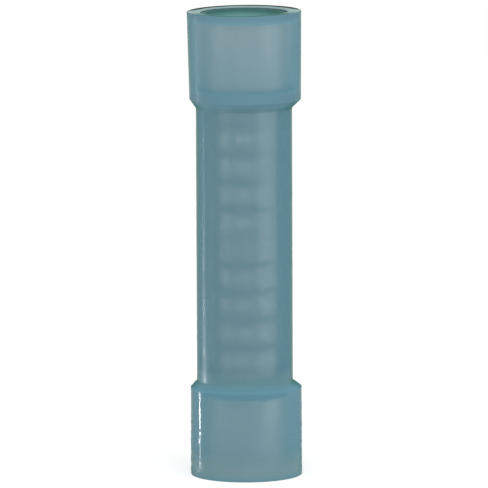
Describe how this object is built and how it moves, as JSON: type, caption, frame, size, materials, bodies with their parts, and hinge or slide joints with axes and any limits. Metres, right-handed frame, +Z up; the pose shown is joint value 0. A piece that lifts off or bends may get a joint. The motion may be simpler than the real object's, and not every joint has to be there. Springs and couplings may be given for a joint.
{
  "type": "butt splice connector",
  "caption": "Insulated butt splice: a translucent nylon tube with belled ends over a grooved metal crimp barrel and insulation-grip sleeves, joining wires end to end.",
  "frame": {"origin": "centre of the lower rim, on which the splice stands", "axes": "+Z up the axis of the tube; the splice is round, so +X is any way across it"},
  "size_m": [0.0064, 0.0064, 0.026],
  "materials": {
    "nylon": "extruded translucent nylon, satin gloss",
    "tinned_copper": "electro-tinned copper, satin",
    "tinned_brass": "electro-tinned brass, satin"
  },
  "bodies": {
    "root": {"housing": "nylon", "crimp_barrel": "tinned_copper", "upper_sleeve": "tinned_brass", "lower_sleeve": "tinned_brass"}
  },
  "joints": []
}
